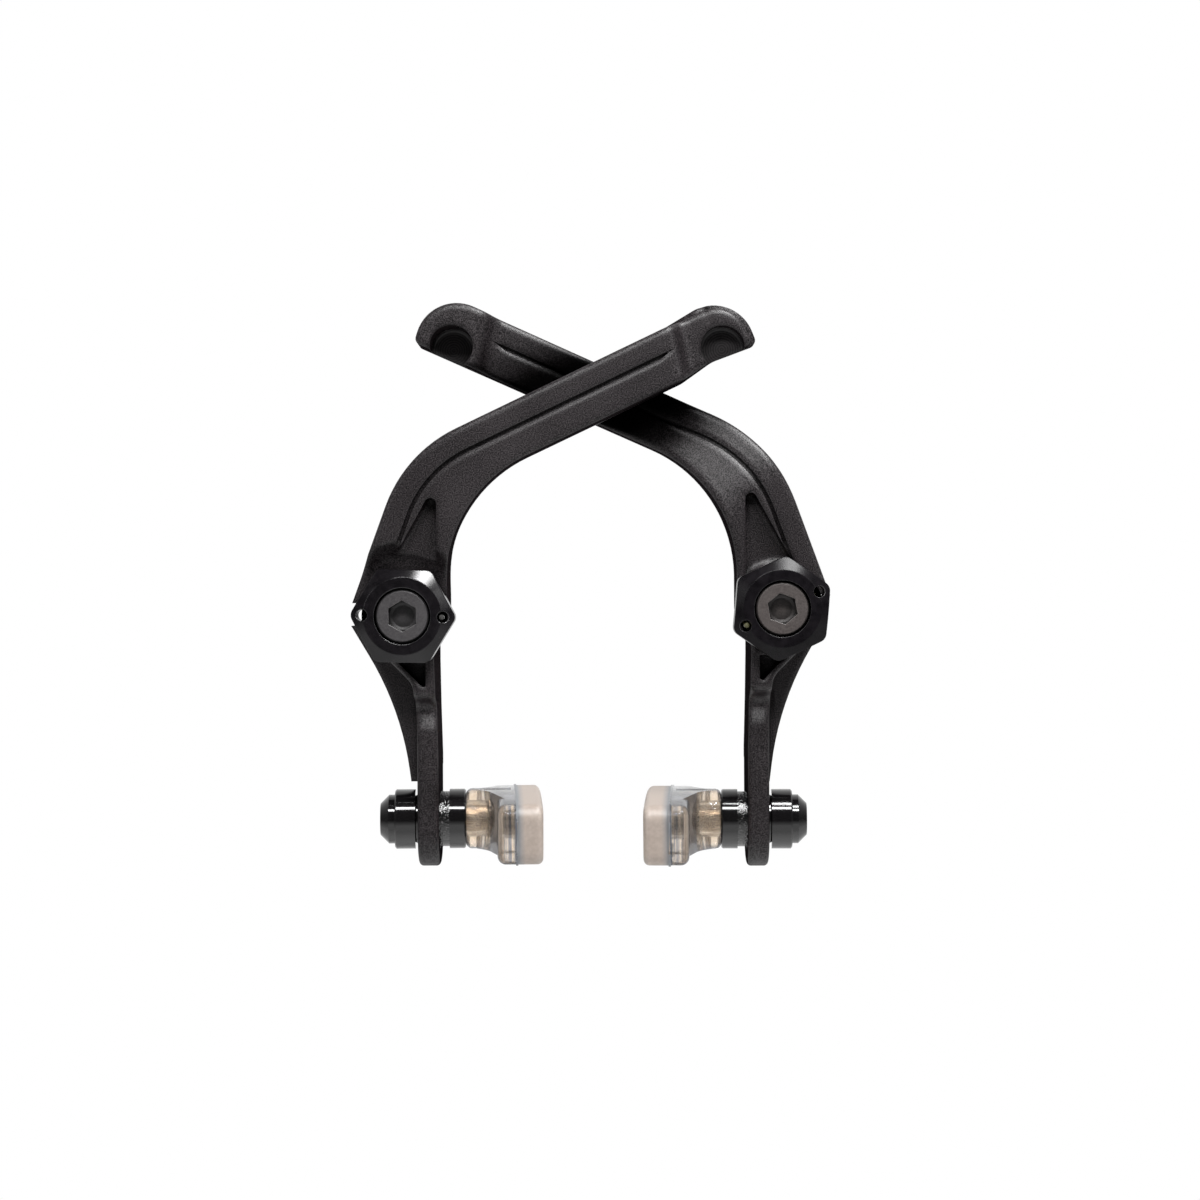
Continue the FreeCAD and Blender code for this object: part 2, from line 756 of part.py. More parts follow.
def ball_washer(sphere_radius, rim_radius, hole_radius):
    """Ball washer that stands on the inner side of the plate."""
    flat = plate_thickness / 2
    base = stud_cylinder(rim_radius, flat, sphere_radius)
    ball = Part.makeSphere(sphere_radius, FreeCAD.Vector(pad_centre_u, -pad_stud_depth, pad_stud_v))
    return base.common(ball).cut(stud_cylinder(hole_radius, 0, sphere_radius + overshoot))


def cup_washer(sphere_radius, start, end, hole_radius):
    ball = Part.makeSphere(sphere_radius, FreeCAD.Vector(pad_centre_u, -pad_stud_depth, pad_stud_v))
    cup = stud_cylinder(washer_radius, start, end)
    rims = [edge for edge in cup.Edges if edge.BoundBox.XMin > pad_centre_u + end - tiny]
    cup = cup.makeChamfer(washer_chamfer, rims)
    return cup.cut([ball, stud_cylinder(hole_radius, 0, end + overshoot)])


def facing_out(shape):
    """Turns a stud-axis solid round to the outer side of the plate."""
    turned = shape.copy()
    turned.rotate(FreeCAD.Vector(pad_centre_u, -pad_stud_depth, pad_stud_v), along_z, 180)
    return turned


def make_inner_ball(side):
    return ball_washer(inner_ball_radius, inner_ball_rim_radius, pad_stud_radius + washer_hole_clearance)


def make_outer_ball(side):
    return facing_out(ball_washer(outer_ball_radius, outer_ball_rim_radius,
                                   pad_stud_radius + washer_hole_clearance))


def toed(shape):
    """Swings a piece of the pad set to its toe angle about the middle of the plate."""
    swung = shape.copy()
    swung.rotate(FreeCAD.Vector(pad_centre_u, -pad_stud_depth, pad_stud_v), along_z, pad_toe)
    return swung


def make_inner_cup(side):
    return toed(cup_washer(inner_ball_radius, inner_cup_start, inner_cup_end, pad_stud_radius))


def make_outer_cup(side):
    return toed(facing_out(cup_washer(outer_ball_radius, outer_cup_start, outer_cup_end, pad_stud_radius)))


def make_pad_nut(side):
    slope = pad_nut_radius - pad_nut_flat_radius
    end = outer_cup_end + pad_nut_height
    profile = [
        (outer_cup_end, 0, 0),
        (outer_cup_end, pad_nut_radius, 0),
        (end - slope, pad_nut_radius, 0),
        (end, pad_nut_flat_radius, 0),
        (end, 0, 0),
    ]
    nut = Part.Face(rounded_wire(profile, on_stud_section)).revolve(on_stud_section(0, 0), along_x, 360)
    nut = nut.cut(stud_cylinder(pad_stud_radius, 0, outer_cup_end + pad_stud_grip))
    points = hexagon(pad_nut_key, pad_nut_key_turn, 0)
    corners = [(pad_stud_depth + a, pad_stud_v + b, 0) for a, b, radius in points]
    key = side_prism(corners, pad_centre_u + end - pad_nut_key_depth, pad_centre_u + end + overshoot)
    return toed(facing_out(nut.cut(key)))


def make_pad_stud(side):
    tail_end = pad_head_start + pad_head_thickness + pad_tail_length
    stud = stud_cylinder(pad_stud_radius, -(outer_cup_end + pad_stud_grip), tail_end)
    return toed(stud.fuse(stud_cylinder(pad_head_radius, pad_head_start, pad_head_start + pad_head_thickness)))


def curved_bar(height, length, start, end):
    """Bar across the stud's axis, bent to the rim, from a start to an end along that axis."""
    half_angle = math.degrees(length / 2 / pad_arc_radius)
    centre = FreeCAD.Vector(pad_centre_u + start, -pad_stud_depth, pad_stud_v + pad_raise - pad_arc_radius)

    def point(radius, angle):
        turn = math.radians(angle)
        return centre + FreeCAD.Vector(0, -radius * math.sin(turn), radius * math.cos(turn))

    top = pad_arc_radius + height / 2
    bottom = pad_arc_radius - height / 2
    edges = [
        Part.Arc(point(top, -half_angle), point(top, 0), point(top, half_angle)).toShape(),
        Part.LineSegment(point(top, half_angle), point(bottom, half_angle)).toShape(),
        Part.Arc(point(bottom, half_angle), point(bottom, 0), point(bottom, -half_angle)).toShape(),
        Part.LineSegment(point(bottom, -half_angle), point(top, -half_angle)).toShape(),
    ]
    return Part.Face(Part.Wire(edges)).extrude(along_x * (end - start))


def make_pad(side):
    """Moulded pad: a curved block that flares out of a round boss, cast round the head of its stud."""
    block = curved_bar(pad_height, pad_length, pad_back_start, pad_face_start)
    ends = [edge for edge in block.Edges if edge.BoundBox.XLength > tiny]
    block = block.makeFillet(pad_back_rounding, ends)
    back_u = pad_centre_u + pad_back_start
    block = block.makeFillet(pad_back_rounding - pad_edge_radius,
                             [edge for edge in block.Edges if edge.BoundBox.XMax < back_u + tiny])
    face_u = pad_centre_u + pad_face_start
    block = block.makeFillet(pad_edge_radius,
                             [edge for edge in block.Edges if edge.BoundBox.XMin > face_u - tiny])
    parting = curved_bar(pad_height + 2 * pad_parting_proud, pad_length + 2 * pad_parting_proud,
                         pad_parting_start, pad_parting_start + pad_parting_width)
    corners = [edge for edge in parting.Edges if edge.BoundBox.XLength > pad_parting_width / 2]
    parting = parting.makeFillet(pad_back_rounding + pad_parting_proud, corners)
    boss_start = inner_cup_end
    flare_end = pad_back_start + pad_back_rounding
    profile = [
        (boss_start, 0, 0),
        (boss_start, pad_boss_radius, pad_boss_rounding),
        (boss_start + pad_boss_length, pad_boss_radius, pad_flare_radius),
        (flare_end, pad_flare_reach, 0),
        (flare_end, 0, 0),
    ]
    section = Part.Face(rounded_wire(profile, on_stud_section))
    flare = section.revolve(on_stud_section(0, 0), along_x, 360)
    flare = flare.common(curved_bar(pad_height, pad_length, 0, pad_face_start).fuse(
        stud_cylinder(pad_boss_radius, 0, pad_face_start - pad_edge_radius)))
    pad = block.fuse([parting, flare])
    tail_end = pad_head_start + pad_head_thickness + pad_tail_length
    pad = pad.cut([stud_cylinder(pad_stud_radius, 0, tail_end),
                   stud_cylinder(pad_head_radius, pad_head_start, pad_head_start + pad_head_thickness)])
    return toed(pad.removeSplitter())


fixed_pieces = {
    "pivot_sleeve": make_sleeve,
    "tension_nut": make_tension_nut,
    "pivot_bolt": make_bolt,
    "return_spring": make_spring,
}
swinging_pieces = {
    "arm": make_arm,
    "pivot_bushing": make_bushing,
}
set_pieces = {
    "pad_inner_ball_washer": make_inner_ball,
    "pad_inner_cup_washer": make_inner_cup,
    "pad_outer_ball_washer": make_outer_ball,
    "pad_outer_cup_washer": make_outer_cup,
    "pad_nut": make_pad_nut,
    "pad_stud": make_pad_stud,
    "brake_pad": make_pad,
}


def place_on_side(shape, side, lift=0.0, tilt=0.0):
    """Puts a piece from its own side's frame into the brake's frame."""
    placed = shape.copy()
    placed.translate(along_z * lift)
    placed.rotate(origin, along_y, tilt)
    if side == "right":
        placed = placed.mirror(origin, along_x)
    offset = pivot_spacing / 2 if side == "right" else -pivot_spacing / 2
    placed.translate(along_x * offset)
    return placed


os.makedirs("parts", exist_ok=True)
for side, rest in sides.items():
    for name, make in fixed_pieces.items():
        place_on_side(make(side), side).exportStep(f"parts/{side}_{name}.step")
    for name, make in swinging_pieces.items():
        swung = place_on_side(make(side), side, tilt=rest["open_tilt"])
        swung.exportStep(f"parts/{side}_{name}.step")
    for name, make in set_pieces.items():
        swung = place_on_side(make(side), side, arms[side]["pad_set"], rest["open_tilt"])
        swung.exportStep(f"parts/{side}_{name}.step")
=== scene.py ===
import math
import bpy
import numpy as np
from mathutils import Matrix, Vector

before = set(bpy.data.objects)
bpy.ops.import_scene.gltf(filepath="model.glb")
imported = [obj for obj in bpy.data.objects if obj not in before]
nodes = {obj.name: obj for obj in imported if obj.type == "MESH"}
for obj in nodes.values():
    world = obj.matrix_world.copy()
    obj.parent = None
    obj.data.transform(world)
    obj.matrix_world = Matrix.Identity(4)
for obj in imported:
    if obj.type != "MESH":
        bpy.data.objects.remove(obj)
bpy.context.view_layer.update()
scene = bpy.context.scene
scene.view_settings.view_transform = "Standard"
print("frame loaded with", len(nodes), "nodes")

mm = 0.001
oneTurn = 2 * math.pi / mm  # phase over a length, for a pitch of 1 mm
black = (0, 0, 0)
sides = {"left": -41.5 * mm, "right": 41.5 * mm}  # x of each pivot


def put(tree, kind, sockets=None, **settings):
    # one node: plain settings by name, sockets by value or by the socket that feeds them
    node = tree.nodes.new(kind)
    for name, value in settings.items():
        setattr(node, name, value)
    for name, value in (sockets or {}).items():
        if isinstance(value, bpy.types.NodeSocket):
            tree.links.new(value, node.inputs[name])
        else:
            node.inputs[name].default_value = value
    return node


def calc(tree, operation, *values):
    # one Math node, returned as its output socket
    return put(tree, "ShaderNodeMath", dict(enumerate(values)), operation=operation).outputs[0]


def rest(tree, share):
    # what a share leaves of one
    return calc(tree, "SUBTRACT", 1.0, share)


def ramp(tree, value, low, high, outLow, outHigh, course="LINEAR"):
    # from one range to another, held at both ends; the skins below keep these four numbers together
    node = put(tree, "ShaderNodeMapRange", {"Value": value, "From Min": low, "From Max": high,
                                            "To Min": outLow, "To Max": outHigh}, interpolation_type=course)
    return node.outputs["Result"]


def smooth(tree, value, low, high, outLow, outHigh):
    # the same, easing in and out
    return ramp(tree, value, low, high, outLow, outHigh, "SMOOTHSTEP")


def blend(tree, mask, low, high):
    # mix of two colours, each plain or fed by a socket, by a mask
    node = put(tree, "ShaderNodeMix", {"Factor": mask}, data_type="RGBA")
    for name, colour in (("A", low), ("B", high)):
        if isinstance(colour, bpy.types.NodeSocket):
            tree.links.new(colour, node.inputs[name])
        else:
            node.inputs[name].default_value = (*colour, 1)
    return node.outputs["Result"]


def apart(tree, vector):
    # the parts of a vector
    return put(tree, "ShaderNodeSeparateXYZ", {"Vector": vector}).outputs


def noise(tree, vector, scale, detail=2.0):
    sockets = {"Vector": vector, "Scale": scale, "Detail": detail}
    return put(tree, "ShaderNodeTexNoise", sockets).outputs["Fac"]


def openness(tree, distance, samples, inside=False):
    # how open a point is within a distance, outside its solid or inside it
    node = put(tree, "ShaderNodeAmbientOcclusion", {"Distance": distance}, samples=samples, inside=inside)
    return node.outputs["AO"]


def newGroup(name, inputs, outputs):
    # an empty group with its sockets: Vector and Normal are vectors, the others plain values
    group = bpy.data.node_groups.new(name, "ShaderNodeTree")
    for label, default in inputs.items():
        kind = "NodeSocketVector" if label == "Vector" else "NodeSocketFloat"
        socket = group.interface.new_socket(label, in_out="INPUT", socket_type=kind)
        if label != "Vector":
            socket.default_value = default
    for label in outputs:
        kind = "NodeSocketVector" if label == "Normal" else "NodeSocketFloat"
        group.interface.new_socket(label, in_out="OUTPUT", socket_type=kind)
    return group, put(group, "NodeGroupInput").outputs


grainMix = {"coarse": 0.35, "coarseHeight": 0.6, "driftScale": 70.0, "driftShare": 0.12}


def makeGrainGroup():
    # blasted skin: a fine speckle over a coarser one, and a slow drift of tone
    group, source = newGroup("blastedGrain", {"Vector": 0, "Grain Size": 0.3}, ["Height", "Tone"])
    scale = calc(group, "DIVIDE", 1 / mm, source["Grain Size"])
    fine = noise(group, source["Vector"], scale)
    coarse = noise(group, source["Vector"], calc(group, "MULTIPLY", scale, grainMix["coarse"]), 1.0)
    drift = noise(group, source["Vector"], grainMix["driftScale"])
    height = calc(group, "ADD", fine, calc(group, "MULTIPLY", coarse, grainMix["coarseHeight"]))
    tone = calc(group, "ADD", calc(group, "MULTIPLY", fine, 1 - grainMix["driftShare"]),
                calc(group, "MULTIPLY", drift, grainMix["driftShare"]))
    put(group, "NodeGroupOutput", {"Height": height, "Tone": tone})
    return group


ringCut = {"wobbleScale": 120.0, "wobble": 3.0}


def makeRingGroup():
    # turned skin: rings round an axis along Y at a given x and z, with an uneven cut
    group, source = newGroup("turnedRings", {"Vector": 0, "Axis X": 0.0, "Axis Z": 0.0, "Pitch": 0.2},
                             ["Height", "Radius"])
    place = apart(group, source["Vector"])
    dx = calc(group, "SUBTRACT", place["X"], source["Axis X"])
    dz = calc(group, "SUBTRACT", place["Z"], source["Axis Z"])
    square = calc(group, "ADD", calc(group, "MULTIPLY", dx, dx), calc(group, "MULTIPLY", dz, dz))
    radius = calc(group, "SQRT", square)
    phase = calc(group, "DIVIDE", calc(group, "MULTIPLY", radius, oneTurn), source["Pitch"])
    wobble = noise(group, source["Vector"], ringCut["wobbleScale"])
    uneven = calc(group, "ADD", phase, calc(group, "MULTIPLY", wobble, ringCut["wobble"]))
    put(group, "NodeGroupOutput", {"Height": calc(group, "SINE", uneven), "Radius": radius})
    return group


latheCut = {"driftScale": 900.0, "driftDetail": 3.0, "driftHeight": 2.0}


def makeLatheGroup():
    # lathe lines across X, for what is turned on the pad stud's axis
    group, source = newGroup("latheLines", {"Vector": 0, "Pitch": 0.15}, ["Height", "Tone"])
    along = apart(group, source["Vector"])["X"]
    line = put(group, "ShaderNodeCombineXYZ", {"X": along}).outputs[0]
    drift = noise(group, line, latheCut["driftScale"], latheCut["driftDetail"])
    phase = calc(group, "DIVIDE", calc(group, "MULTIPLY", along, oneTurn), source["Pitch"])
    uneven = calc(group, "MULTIPLY", drift, latheCut["driftHeight"])
    height = calc(group, "ADD", calc(group, "SINE", phase), uneven)
    put(group, "NodeGroupOutput", {"Height": height, "Tone": drift})
    return group


edgeSizes = {"Round": 1.0, "Reach": 14.0, "Corner": 3.0, "Edge": 0.5}  # mm, each finish gives its own
edgeSamples = {"round": 8, "shade": 16, "rim": 8}
leastOpen = 0.05  # keeps the division below from growing in a closed corner


def makeEdgeGroup():
    # soft edges: a normal rounded over each edge, and masks for the painted shade beside a wall further off,
    # for the painted shade in a corner and for the painted highlight on the sharp rims
    group, source = newGroup("softEdges", edgeSizes, ["Normal", "Shade", "Crevice", "Rim"])
    size = {label: calc(group, "MULTIPLY", source[label], mm) for label in edgeSizes}
    soft = put(group, "ShaderNodeBevel", {"Radius": size["Round"]}, samples=edgeSamples["round"])
    wide = openness(group, size["Reach"], edgeSamples["shade"])
    close = openness(group, size["Corner"], edgeSamples["shade"])
    thick = openness(group, size["Edge"], edgeSamples["rim"], inside=True)
    beside = calc(group, "DIVIDE", wide, calc(group, "MAXIMUM", close, leastOpen))
    put(group, "NodeGroupOutput", {"Normal": soft.outputs[0], "Shade": calc(group, "MINIMUM", beside, 1.0),
                                   "Crevice": close, "Rim": rest(group, thick)})
    return group


grainGroup = makeGrainGroup()
edgeGroup = makeEdgeGroup()
ringGroup = makeRingGroup()
latheGroup = makeLatheGroup()


def useGroup(tree, group, values):
    # a shared effect in one material, with that material's values
    return put(tree, "ShaderNodeGroup", values, node_tree=group).outputs


def newFinish(name, constants):
    # a material with one Principled shader, its constants set on the sockets
    material = bpy.data.materials.new(name)
    material.use_nodes = True
    tree = material.node_tree
    tree.nodes.clear()
    shader = put(tree, "ShaderNodeBsdfPrincipled", constants)
    put(tree, "ShaderNodeOutputMaterial", {"Surface": shader.outputs[0]})
    coords = put(tree, "ShaderNodeTexCoord").outputs["Object"]
    return material, tree, shader, coords


def feed(tree, shader, sockets):
    for name, source in sockets.items():
        tree.links.new(source, shader.inputs[name])


def bump(tree, height, distance, normal=None):
    # normal from a height, over another normal where one is given
    sockets = {"Height": height, "Distance": distance}
    if normal:
        sockets["Normal"] = normal
    return put(tree, "ShaderNodeBump", sockets).outputs[0]


def toned(tree, tone, skin):
    # from a skin's dark to its light colour, by the tone of its grain
    return blend(tree, ramp(tree, tone, *skin["speckle"]), skin["dark"], skin["light"])


def paintEdgeHighlight(tree, rim, colour, skin):
    # a painted highlight: the skin's rim colour where an edge is sharp
    return blend(tree, ramp(tree, rim, *skin["sharp"]), colour, skin["rim"])


def paintCornerShade(tree, crevice, colour, skin):
    # painted shade: darker in a corner
    return blend(tree, ramp(tree, crevice, *skin["corner"]), black, colour)


armSkin = {
    # rim and sharp paint a highlight on sharp edges
    "dark": (0.0015, 0.0012, 0.0014), "light": (0.0246, 0.0203, 0.0221), "rim": (0.12, 0.112, 0.117),
    "ior": 1.42, "grain": 0.25, "relief": 0.020 * mm,
    "edges": {"Round": 1.8, "Reach": 17.0, "Corner": 3.5, "Edge": 0.5},
    "speckle": (0.40, 0.62, 0, 1), "rough": (0.3, 0.7, 0.32, 0.44), "sharp": (0.4, 0.85, 0, 0.42),
    # painted shade beside the other arm and in a corner, gloss by how far a face looks forward and by the
    # grain
    "beside": (0.74, 1.0, 0.98, 0), "corner": (0.4, 0.72, 0.75, 0),
    "front": (0.2, 0.6, 0, 0.5), "glint": (0, 1, 0.5, 1.2),
}
cableSeats = {"left": {"x": 29.87 * mm, "z": 57.85 * mm, "front": -16.6 * mm},
              "right": {"x": -30.52 * mm, "z": 60.18 * mm, "front": -5.0 * mm}}
seatCut = {"radius": 4.97 * mm, "pitch": 0.55, "tone": (-1, 1, 0.1, 0.45)}
knee = {"edge": -16.6 * mm, "dip": -19.3 * mm, "foot": -20.4 * mm, "swell": -27.4 * mm, "end": -47 * mm,
        "fall": 0.35 * mm, "rise": 0.6 * mm, "outer": 0.8 * mm, "inner": 2.2 * mm}
crossing = {"low": 26 * mm, "high": 38 * mm}  # heights where the shade beside the other arm sets in


def kneeHeight(tree, place, side):
    # the leg dips below the pocket and then swells forward: height over the skin, on the pad plate only
    height = place["Z"]
    dip = smooth(tree, height, knee["dip"], knee["edge"], -knee["fall"] / armSkin["relief"], 0)
    swell = smooth(tree, height, knee["swell"], knee["foot"], knee["rise"] / armSkin["relief"], 0)
    inward = calc(tree, "SUBTRACT", abs(sides[side]), calc(tree, "ABSOLUTE", place["X"]))
    within = calc(tree, "MULTIPLY", smooth(tree, inward, knee["outer"], knee["inner"], 0, 1),
                  smooth(tree, height, knee["end"], knee["swell"], 0, 1))
    return calc(tree, "MULTIPLY", calc(tree, "ADD", dip, swell), within)


def makeArmFinish(side):
    # black anodised over a blasted skin, soft at its edges, with a turned floor and wall in the cable seat,
    # with a painted highlight on its sharp edges and painted shade in its corners and beside the other arm
    seat = cableSeats[side]
    material, tree, shader, coords = newFinish(side + "ArmBlack", {"IOR": armSkin["ior"]})
    place = apart(tree, coords)
    grain = useGroup(tree, grainGroup, {"Vector": coords, "Grain Size": armSkin["grain"]})
    rings = useGroup(tree, ringGroup, {"Vector": coords, "Axis X": seat["x"], "Axis Z": seat["z"],
                                       "Pitch": seatCut["pitch"]})
    edges = useGroup(tree, edgeGroup, armSkin["edges"])
    inside = calc(tree, "LESS_THAN", rings["Radius"], seatCut["radius"])
    turned = calc(tree, "MULTIPLY", inside, calc(tree, "LESS_THAN", place["Y"], seat["front"]))
    plain = rest(tree, turned)
    speckle = ramp(tree, grain["Tone"], *armSkin["speckle"])
    cut = ramp(tree, rings["Height"], *seatCut["tone"])
    tone = put(tree, "ShaderNodeMix", {"Factor": turned, "A": speckle, "B": cut}).outputs["Result"]
    # painted highlight on the sharp edges
    skin = paintEdgeHighlight(tree, edges["Rim"], blend(tree, tone, armSkin["dark"], armSkin["light"]), armSkin)
    # painted shade: darker beside the other arm above the crossing's height and in corners, off the turned
    # seat; it darkens the colour and dims the gloss
    high = ramp(tree, place["Z"], crossing["low"], crossing["high"], 0, 1)
    beside = ramp(tree, edges["Shade"], *armSkin["beside"])
    paintedShadeBeside = calc(tree, "MULTIPLY", beside, calc(tree, "MULTIPLY", high, plain))
    corner = calc(tree, "MULTIPLY", ramp(tree, edges["Crevice"], *armSkin["corner"]), plain)
    shade = calc(tree, "MULTIPLY", rest(tree, paintedShadeBeside), rest(tree, corner))
    facing = apart(tree, edges["Normal"])["Y"]
    front = ramp(tree, calc(tree, "ABSOLUTE", facing), *armSkin["front"])
    glint = calc(tree, "MULTIPLY", ramp(tree, tone, *armSkin["glint"]), front)
    skinHeight = calc(tree, "MULTIPLY", grain["Height"], plain)
    relief = calc(tree, "ADD", skinHeight, calc(tree, "MULTIPLY", cut, turned))
    relief = calc(tree, "ADD", relief, kneeHeight(tree, place, side))
    feed(tree, shader, {"Base Color": blend(tree, shade, black, skin),
                        "Specular IOR Level": calc(tree, "MULTIPLY", shade, glint),
                        "Roughness": ramp(tree, grain["Tone"], *armSkin["rough"]),
                        "Normal": bump(tree, relief, armSkin["relief"], edges["Normal"])})
    return material


# rim and sharp paint a highlight on the nut's sharp edges, corner paints shade in its corners
nutSkin = {
    "dark": (0.002, 0.0016, 0.0022), "light": (0.005, 0.0042, 0.0052), "rim": (0.10, 0.098, 0.10),
    "pitch": 0.22, "relief": 0.0006 * mm, "grain": 1.5,
    "edges": {"Round": 0.35, "Reach": 6.0, "Corner": 1.5, "Edge": 0.22},
    "speckle": (0.3, 0.7, 0, 1), "sharp": (0.3, 0.8, 0, 0.8), "corner": (0.4, 0.9, 0.2, 1),
}
nutGloss = {"left": {"ior": 1.40, "rough": (0.2, 0.8, 0.20, 0.24)},
            "right": {"ior": 1.22, "rough": (0.2, 0.8, 0.26, 0.30)}}


def makeNutFinish(side):
    # black anodised over a turned face, smooth, with painted highlights on its rims and painted shade in its
    # corners
    gloss = nutGloss[side]
    material, tree, shader, coords = newFinish(side + "NutBlack", {"IOR": gloss["ior"]})
    rings = useGroup(tree, ringGroup, {"Vector": coords, "Axis X": sides[side], "Axis Z": 0.0,
                                       "Pitch": nutSkin["pitch"]})
    grain = useGroup(tree, grainGroup, {"Vector": coords, "Grain Size": nutSkin["grain"]})
    edges = useGroup(tree, edgeGroup, nutSkin["edges"])
    colour = paintEdgeHighlight(tree, edges["Rim"], toned(tree, grain["Tone"], nutSkin), nutSkin)
    feed(tree, shader, {"Base Color": paintCornerShade(tree, edges["Crevice"], colour, nutSkin),
                        "Roughness": ramp(tree, grain["Tone"], *gloss["rough"]),
                        "Normal": bump(tree, rings["Height"], nutSkin["relief"], edges["Normal"])})
    return material


# rim and sharp paint a highlight on the bolt's rims, corner paints shade in its socket and corners
boltSkin = {
    "rim": (0.26, 0.25, 0.245), "metal": 0.2, "grain": 0.3, "relief": 0.012 * mm,
    "edges": {"Round": 0.25, "Reach": 6.0, "Corner": 3.0, "Edge": 0.2},
    "speckle": (0.35, 0.65, 0, 1), "rough": (0.3, 0.7, 0.38, 0.55),
    "sharp": (0.3, 0.8, 0, 0.7), "corner": (0.3, 0.9, 0.05, 1),
}
boltTints = {"left": {"dark": (0.026, 0.024, 0.0255), "light": (0.042, 0.039, 0.0405)},
             "right": {"dark": (0.034, 0.028, 0.0265), "light": (0.052, 0.0435, 0.041)}}


def makeBoltFinish(side):
    # dark phosphate on steel, a little warmer on one side, with painted shade in the socket and painted
    # highlights at its rims
    skin = {**boltSkin, **boltTints[side]}
    material, tree, shader, coords = newFinish(side + "BoltPhosphate", {"Metallic": skin["metal"]})
    grain = useGroup(tree, grainGroup, {"Vector": coords, "Grain Size": skin["grain"]})
    edges = useGroup(tree, edgeGroup, skin["edges"])
    colour = paintEdgeHighlight(tree, edges["Rim"], toned(tree, grain["Tone"], skin), skin)
    feed(tree, shader, {"Base Color": paintCornerShade(tree, edges["Crevice"], colour, skin),
                        "Roughness": ramp(tree, grain["Tone"], *skin["rough"]),
                        "Normal": bump(tree, grain["Height"], skin["relief"], edges["Normal"])})
    return material


washerSkin = {"dark": (0.0016, 0.0014, 0.0016), "light": (0.0040, 0.0036, 0.0040), "level": 0.65,
              "pitch": 0.18, "relief": 0.0015 * mm, "rough": (0.3, 0.7, 0.07, 0.12)}


def makeWasherFinish():
    # glossy black anodised, with lathe lines round it
    material, tree, shader, coords = newFinish("washerBlack", {"Specular IOR Level": washerSkin["level"]})
    lines = useGroup(tree, latheGroup, {"Vector": coords, "Pitch": washerSkin["pitch"]})
    feed(tree, shader, {"Base Color": blend(tree, lines["Tone"], washerSkin["dark"], washerSkin["light"]),
                        "Roughness": ramp(tree, lines["Tone"], *washerSkin["rough"]),
                        "Normal": bump(tree, lines["Height"], washerSkin["relief"])})
    return material


ballSkin = {"dark": (0.003, 0.0028, 0.003), "light": (0.06, 0.057, 0.058), "level": 0.8, "grain": 0.45,
            "relief": 0.12 * mm, "speckle": (0.56, 0.66, 0, 1), "rough": (0.3, 0.7, 0.10, 0.22)}


def makeBallFinish():
    # the inner ball washer: black with a coarse cast skin that glints
    material, tree, shader, coords = newFinish("ballBlack", {"Specular IOR Level": ballSkin["level"]})
    grain = useGroup(tree, grainGroup, {"Vector": coords, "Grain Size": ballSkin["grain"]})
    feed(tree, shader, {"Base Color": toned(tree, grain["Tone"], ballSkin),
                        "Roughness": ramp(tree, grain["Tone"], *ballSkin["rough"]),
                        "Normal": bump(tree, grain["Height"], ballSkin["relief"])})
    return material


metalGrain = {"grain": 0.4, "relief": 0.004 * mm, "speckle": (0.35, 0.65, 0, 1)}
metalSkins = {
    "springSteel": {"dark": (0.30, 0.30, 0.29), "light": (0.70, 0.69, 0.66), "metal": 1.0,
                    "rough": (0.3, 0.7, 0.25, 0.4)},
    "springZinc": {"dark": (0.62, 0.60, 0.25), "light": (0.95, 0.93, 0.60), "metal": 0.3,
                   "rough": (0.3, 0.7, 0.25, 0.4)},
    "bushingBronze": {"dark": (0.42, 0.25, 0.10), "light": (0.60, 0.40, 0.20), "metal": 1.0,
                      "rough": (0.3, 0.7, 0.25, 0.4)},
    "sleeveSteel": {"dark": (0.42, 0.42, 0.42), "light": (0.60, 0.60, 0.60), "metal": 1.0,
                    "rough": (0.3, 0.7, 0.2, 0.35)},
    "studSteel": {"dark": (0.13, 0.118, 0.105), "light": (0.36, 0.325, 0.285), "metal": 1.0,
                  "rough": (0.3, 0.7, 0.3, 0.45)},
}


def makeMetalFinish(name):
    # bare or plated metal with a fine speckle and a little drift of tone
    skin = {**metalGrain, **metalSkins[name]}
    material, tree, shader, coords = newFinish(name, {"Metallic": skin["metal"]})
    grain = useGroup(tree, grainGroup, {"Vector": coords, "Grain Size": skin["grain"]})
    feed(tree, shader, {"Base Color": toned(tree, grain["Tone"], skin),
                        "Roughness": ramp(tree, grain["Tone"], *skin["rough"]),
                        "Normal": bump(tree, grain["Height"], skin["relief"])})
    return material


padPartings = {"left": {"inward": 1, "at": -18.80 * mm}, "right": {"inward": -1, "at": -17.41 * mm}}
padToe = math.tan(math.radians(3.0))


def acrossPad(tree, coords, side):
    # distance across the pad, towards its rubbing face, along the toed in direction
    place = apart(tree, coords)
    return calc(tree, "MULTIPLY_ADD", place["Y"], padToe,
                calc(tree, "MULTIPLY", place["X"], padPartings[side]["inward"]))


# edge is a painted blue grey at a slant and streak painted dark lines by the parting line, both for the dark
# surroundings refracted in the plastic
clearSkin = {
    "dark": (0.75, 0.61, 0.465), "light": (0.93, 0.81, 0.67), "edge": (0.10, 0.115, 0.145),
    "streak": (0.17, 0.20, 0.26), "sheen": (0.30, 0.33, 0.38), "clear": 0.9, "ior": 1.38,
    "grain": 2.0, "relief": 0.02 * mm, "speckle": (0.35, 0.65, 0, 1), "rough": (0.3, 0.7, 0.08, 0.16),
    "slantBlend": 0.35, "slant": (0.3, 0.6, 0, 1),
    "streaks": 1400.0, "streakTone": (0.42, 0.56, 0, 1), "streakFrom": 4.5 * mm, "streakTo": 1.0 * mm,
}


